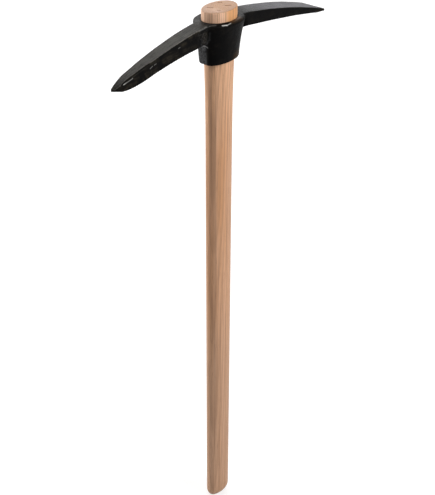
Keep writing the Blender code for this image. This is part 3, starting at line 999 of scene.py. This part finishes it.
@dataclass
class ForgedHead:
    """The head: one forging of the eye, the pick arm and the chisel arm.

    A line is its two ends in millimetres, its width in millimetres and its strength. A tone is a place
    along the head in millimetres and how strong the painted top sheen, or the worn edges with their painted
    highlight, are there.
    """

    # Painted highlights: the crescent on the front rim, the line on the pick's root edge, glints on the
    # point's bevel and spots at the root.
    PAINTED_GLINTS = (
        ((-22.6, -22.8, 884.2), (-15.5, -25.7, 884.0), 0.65, 0.9),
        ((-15.5, -25.7, 884.0), (-7.4, -26.3, 884.5), 0.45, 0.75),
        ((-58, -15.8, 886), (-44, -13.5, 886.4), 0.6, 0.15),
        ((-44, -13.5, 886.4), (-36.3, -13.8, 886.2), 0.6, 0.18),
        ((-36.3, -13.8, 886.2), (-29.5, -17.8, 885.2), 0.6, 0.14),
        ((-203, -6.6, 854.5), (-187, -8.0, 858.3), 0.5, 0.45),
        ((-155, -9.6, 861.7), (-150.5, -9.7, 863.3), 0.5, 0.3),
        ((-147, -9.8, 863.9), (-143.5, -9.8, 864.9), 0.5, 0.22),
        ((-99.5, -11, 872.4), (-96.5, -11, 873.2), 0.5, 0.25),
        ((-38, 1, 853.6), (-38, -4.6, 854.0), 0.8, 0.25),
        ((-38, -4.6, 854.0), (-37.5, -8.5, 852.4), 0.7, 0.2),
    )
    # Grey lines: scale at the pick's root, and painted highlights on the fillets where the arms meet the
    # collar.
    SCALE_AND_GLARE_LINES = (
        ((-38, 1, 853.6), (-38, -4.6, 854.0), 1.1, 0.9),
        ((-38, -4.6, 854.0), (-37.5, -8.5, 852.4), 0.9, 0.7),
        ((-38, -14.3, 876), (-38, -12.6, 866), 1.4, 0.12),
        ((-38, -12.6, 866), (-38, -9, 857.4), 1.4, 0.25),
        ((30, -16, 875.5), (38, -13.5, 865), 0.9, 0.35),
        ((38, -13.5, 865), (36.5, -12.5, 860), 0.9, 0.4),
    )
    CRACKS = (((-37, -2, 845.0), (-37, -9.5, 846.3), 1.0, 1.0),)
    # How strong the painted top sheen is along the head.
    TOP_SHEEN_TONES = ((-214, 0.3), (-206, 0.6), (-196, 1.0), (-130, 1.0), (-90, 0.93), (-60, 0.7), (-35, 0.25),
                 (30, 0.0), (55, 0.0), (70, 0.14), (90, 0.55), (200, 0.74))
    # How strong the worn edges with their painted highlight are along the head.
    EDGE_TONES = ((-200, 0.7), (-130, 0.6), (-110, 1.0), (-45, 1.0), (-30, 0.4), (40, 0.1), (230, 0.2))

    eye: Eye
    pick: Arm
    chisel: Arm
    voxel: float = 0.65 * MM
    bevel_start: float = 146 * MM
    bevel_full: float = 162 * MM
    bevel_fade: tuple[float, float] = (214 * MM, 200 * MM)
    bevel_legs: float = 2.4 * MM
    nose_start: float = 190 * MM
    nose_foot: Point = (-0.2128, -0.003, 0.847)
    nose_facing: Point = (-0.3153, -0.2578, -0.9133)
    junction_pull: float = 0.6
    junction_rounds: int = 16
    hollow_depth: float = 0.18 * MM
    hollow_size: float = 16 * MM
    scale_depth: float = 0.05 * MM
    scale_size: float = 3.1 * MM
    seed: int = 11

    def build(self) -> bpy.types.Object:
        """Make the head's mesh, work its surface, dress it and let it ride."""
        arms = flip(skin("arms", [*reversed(self.pick.rings()), *self.chisel.rings()]))
        solid = combine(self.eye.collar(), "UNION", arms)
        solid = combine(solid, "DIFFERENCE", self.eye.bore())
        head = new_object("forged_head", solid.data.copy())
        remesh(head, self.voxel)
        relief = Relief(head)
        relief.snap_to(solid)
        bpy.data.objects.remove(solid)
        relief.smooth(self.junction(relief.points), self.junction_rounds)
        self.bevel(relief)
        self.flatten_nose(relief)
        self.forge(relief)
        self.weather(relief)
        head.data.shade_smooth()
        head.data.materials.append(BlackenedSteel().make())
        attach(head, Body.HEAD.value)
        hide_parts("head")
        log.info("head: %d faces", len(head.data.polygons))
        return head

    def junction(self, points: np.ndarray) -> np.ndarray:
        """How strongly each point is smoothed: most where the arms leave the eye."""
        distance = np.abs(points[:, 0])
        near = ease(distance, 24 * MM, 34 * MM) * ease(distance, 66 * MM, 50 * MM)
        outside = ease(np.hypot(points[:, 0] / 33, points[:, 1] / 23.5), 1.0 * MM, 1.06 * MM)
        return self.junction_pull * near * outside

    def bevel(self, relief: Relief) -> None:
        """Cut a narrow slanting face along the point's near top edge."""
        x, y, z = relief.points.T
        places = np.linspace(self.bevel_start, self.pick.reach, 80)
        top, height, width = np.array([self.pick.section(place) for place in places]).T
        inwards = np.interp(-x, places, width) / 2 + y
        below = np.interp(-x, places, top) - z
        legs = self.bevel_legs * ease(-x, self.bevel_start, self.bevel_full) * ease(-x, *self.bevel_fade)
        cut = np.maximum(legs - np.maximum(inwards, 0) - np.maximum(below, 0), 0) / 2
        cut *= (-x > self.bevel_start) & (y < 0)
        relief.points = np.stack((x, y + cut, z - cut), axis=1)

    def flatten_nose(self, relief: Relief) -> None:
        """Press the underside of the pick's nose onto a flat."""
        facing = np.array(self.nose_facing)
        beyond = np.maximum((relief.points - np.array(self.nose_foot)) @ facing, 0)
        beyond *= relief.points[:, 0] < -self.nose_start
        relief.points = relief.points - beyond[:, None] * facing

    @staticmethod
    def tones(x: np.ndarray, table: Sequence[tuple[float, float]]) -> np.ndarray:
        """Read a table of tones at some places along the head."""
        places, values = np.array(table).T
        return np.interp(x, places * MM, values)

    @staticmethod
    def lines(points: np.ndarray, table: Sequence[tuple[Point, Point, float, float]]) -> np.ndarray:
        """How strongly each point is marked by short lines, whose ends are laid on the surface first."""
        total = np.zeros(len(points))
        for *ends, width, strength in table:
            start, end = (points[np.argmin(np.linalg.norm(points - np.array(place) * MM, axis=1))]
                          for place in ends)
            along = np.clip((points - start) @ (end - start) / ((end - start) @ (end - start)), 0, 1)
            away = np.linalg.norm(points - start - along[:, None] * (end - start), axis=1)
            total = np.maximum(total, strength * np.exp(-(away / (width * MM)) ** 2))
        return total

    def weather(self, relief: Relief) -> None:
        """Paint the painted sheen on top, the scale with its painted reflection and highlights, the rust and
        the painted reflection of the wood, the worn edges with their painted highlight, and the painted
        glints.
        """
        points = relief.points
        x, y, z = points.T
        noise = LatticeNoise(self.seed + 2)
        up = relief.normals()[:, 2]
        convexity = relief.convexity(2)
        near_edge = ease(convexity, 60, 140) * ease(up, 0.45, 0.8)
        far_edge = ease(relief.convexity(8), 25, 70) * (y > 0) * (np.abs(x) > 45 * MM)
        land = self.eye.land(1)
        beyond = np.hypot(x / land[0], y / land[1])
        turn = np.degrees(np.arctan2(y, x)) % 360
        kept = 1 - ease(turn, 208, 216) * ease(turn, 298, 286)
        blade_end = ease(x - 0.33 * (y + 21 * MM), 216 * MM, 222 * MM)
        # Worn bare metal on the convex top edges, partly painted highlight: the back edges get a fifth as
        # much.
        edge_wear_and_glint = near_edge * ease(beyond, 1.0, 1.08) * (1 - 0.8 * (y > 0)) * self.tones(x, self.EDGE_TONES)
        relief.paint("edge_wear_and_glint", edge_wear_and_glint * (0.8 + 0.4 * noise.sample(points, 7 * MM)))
        # Painted sheen on the up-facing faces, set by place along the head; less at the back edges, at the
        # blade's end and on the front round the hole.
        painted_top_sheen = self.tones(x, self.TOP_SHEEN_TONES) * kept * ease(up, 0.8, 0.97)
        painted_top_sheen *= (1 - 0.75 * far_edge) * (1 - 0.75 * blade_end)
        relief.paint("painted_top_sheen", painted_top_sheen * (1 + 0.16 * noise.sample(points, 11 * MM)))
        # The collar's end below the pick arm: rough scale, and a painted reflection of the left lamp.
        lobe = ease(y, -7 * MM, -2 * MM) * ease(y, 19 * MM, 14 * MM) * ease(x, -24 * MM, -29 * MM)
        lobe *= 0.38 * ease(x, -62 * MM, -56 * MM) * ease(z, 0.858, 0.852)
        # Speckled forge lap at the pick's root, partly a painted highlight on the fillet.
        root = ease(np.abs(x + 50 * MM), 14 * MM, 4 * MM) * ease(y, -9 * MM, -11 * MM) * ease(z, 0.858, 0.866)
        root *= 0.12 * ease(noise.sample(points, 1.6 * MM), -0.1, 0.5)
        scale_and_glare_share = lobe + root + self.lines(points, self.SCALE_AND_GLARE_LINES)
        scale_and_glare_share *= (0.85 + 0.35 * noise.sample(points, 2.2 * MM)) * (1 - self.lines(points, self.CRACKS))
        relief.paint("scale_and_glare", scale_and_glare_share)
        # Painted reflection of the wood: brown on the front land round the hole; the foot is a faint rust low
        # on the collar's front.
        wood_reflection_strip = ease(turn, 246, 264) * ease(turn, 326, 306) * ease(up, 0.3, 0.6)
        wood_reflection_strip *= ease(beyond, 1.14, 1.02) + 0.2 * ease(beyond, 1.5, 1.3)
        foot = 0.35 * ease(z, 0.842, 0.828) * ease(y, 0, -12 * MM) * ease(x, 0, 14 * MM)
        relief.paint("rust_and_reflection", wood_reflection_strip + foot)
        # Painted highlights along the listed lines.
        relief.paint("painted_glint", self.lines(points, self.PAINTED_GLINTS))

    def forge(self, relief: Relief) -> None:
        """Give the faces the shallow hollows and the scale of hammer work."""
        blows = LatticeNoise(self.seed).sample(relief.points, self.hollow_size)
        scale = LatticeNoise(self.seed + 1).sample(relief.points, self.scale_size)
        relief.press(self.hollow_depth * blows + self.scale_depth * scale)
        relief.write()


# The studio


@dataclass(frozen=True)
class PhotoCamera:
    """The camera that saw the tool: where it stood and how it looked."""

    place: Point = (-1.1701, -0.9385, 1.4422)
    heading: float = math.radians(51.23)
    pitch: float = math.radians(31.83)
    roll: float = 0.0036
    lens: float = 82.45
    shift: tuple[float, float] = (-0.0006, -0.0015)

    def build(self) -> bpy.types.Object:
        """Make the camera and use it."""
        data = bpy.data.cameras.new("photo_camera")
        data.lens = self.lens
        data.shift_x, data.shift_y = self.shift
        camera = bpy.data.objects.new("photo_camera", data)
        turn = (Matrix.Rotation(-self.heading, 4, "Z") @ Matrix.Rotation(math.pi / 2 - self.pitch, 4, "X")
                @ Matrix.Rotation(self.roll, 4, "Z"))
        camera.matrix_world = Matrix.Translation(self.place) @ turn
        bpy.context.scene.collection.objects.link(camera)
        bpy.context.scene.camera = camera
        return camera


@dataclass(frozen=True)
class SoftBox:
    """A square studio light that faces the tool."""

    name: str
    azimuth: float
    elevation: float
    distance: float
    width: float
    height: float
    radiance: float
    target: Point = (0.0, 0.0, 0.6)

    def build(self) -> bpy.types.Object:
        """Make the light."""
        data = bpy.data.lights.new(self.name, "AREA")
        data.shape = "RECTANGLE"
        data.size = self.width
        data.size_y = self.height
        data.energy = self.radiance * math.pi * self.width * self.height
        turn, rise = math.radians(self.azimuth), math.radians(self.elevation)
        away = Vector((math.sin(turn) * math.cos(rise), -math.cos(turn) * math.cos(rise), math.sin(rise)))
        light = bpy.data.objects.new(self.name, data)
        light.location = Vector(self.target) + away * self.distance
        light.rotation_euler = away.to_track_quat("Z", "Y").to_euler()
        light.visible_camera = False
        bpy.context.scene.collection.objects.link(light)
        return light


@dataclass(frozen=True)
class Studio:
    """A pale floor, a white surround and soft lights."""

    MIRRORING = ("Is Glossy Ray", "Is Transmission Ray")

    floor_size: float = 30.0
    floor_colour: Colour = (0.5, 0.5, 0.5)
    floor_glow: float = 0.62
    fill: float = 0.2
    lights: tuple[SoftBox, ...] = (
        SoftBox("key_softbox", 19, 28, 2.6, 1.4, 1.8, 7.8),
        SoftBox("rear_softbox", 130, 24, 2.8, 2.6, 2.0, 3.0),
        SoftBox("left_softbox", -150, 14, 2.4, 0.9, 1.8, 10.0),
    )

    def build(self) -> None:
        """Make the floor, the surround and the lights."""
        self.make_floor()
        self.make_surround()
        for light in self.lights:
            light.build()

    @staticmethod
    def seen(tree: bpy.types.NodeTree, *others: str) -> bpy.types.NodeSocket:
        """A value of 1 for rays from the camera and for other kinds of ray that are named."""
        path = tree.nodes.new("ShaderNodeLightPath")
        total = path.outputs["Is Camera Ray"]
        for name in others:
            larger = tree.nodes.new("ShaderNodeMath")
            larger.operation = "MAXIMUM"
            tree.links.new(total, larger.inputs[0])
            tree.links.new(path.outputs[name], larger.inputs[1])
            total = larger.outputs[0]
        return total

    def make_floor(self) -> None:
        """A large plain floor that shows white and still takes the tool's shadow."""
        half = self.floor_size / 2
        mesh = bpy.data.meshes.new("studio_floor")
        corners = [(-half, -half, 0), (half, -half, 0), (half, half, 0), (-half, half, 0)]
        mesh.from_pydata(corners, [], [(0, 1, 2, 3)])
        finish = Finish("pale_floor")
        shown = self.seen(finish.tree, *self.MIRRORING)
        glow = finish.times(shown, self.floor_glow)
        finish.dress(Base_Color=self.floor_colour, Roughness=0.9, Specular_IOR_Level=0.0,
                     Emission_Color=(1.0, 1.0, 1.0), Emission_Strength=glow)
        mesh.materials.append(finish.material)
        new_object("studio_floor", mesh)

    def make_surround(self) -> None:
        """White where it is seen, and a plain even fill light elsewhere."""
        world = bpy.data.worlds.new("white_surround")
        bpy.context.scene.world = world
        world.use_nodes = True
        tree = world.node_tree
        shown = tree.nodes["Background"]
        shown.inputs["Color"].default_value = (1, 1, 1, 1)
        shown.inputs["Strength"].default_value = 1.0
        fill = tree.nodes.new("ShaderNodeBackground")
        fill.inputs["Color"].default_value = (1, 1, 1, 1)
        fill.inputs["Strength"].default_value = self.fill
        choice = tree.nodes.new("ShaderNodeMixShader")
        tree.links.new(self.seen(tree, *self.MIRRORING), choice.inputs["Fac"])
        tree.links.new(fill.outputs[0], choice.inputs[1])
        tree.links.new(shown.outputs[0], choice.inputs[2])
        tree.links.new(choice.outputs[0], tree.nodes["World Output"].inputs["Surface"])


def main() -> None:
    """Build the tool and its studio, and log the face counts."""
    logging.basicConfig(level=logging.INFO, format="%(name)s %(message)s")
    bpy.context.scene.view_settings.view_transform = "Standard"
    handle = OvalHandle()
    handle.build()
    eye = Eye(handle)
    ForgedHead(eye, PickArm(eye), ChiselArm(eye)).build()
    PhotoCamera().build()
    Studio().build()


if __name__ == "__main__":
    main()
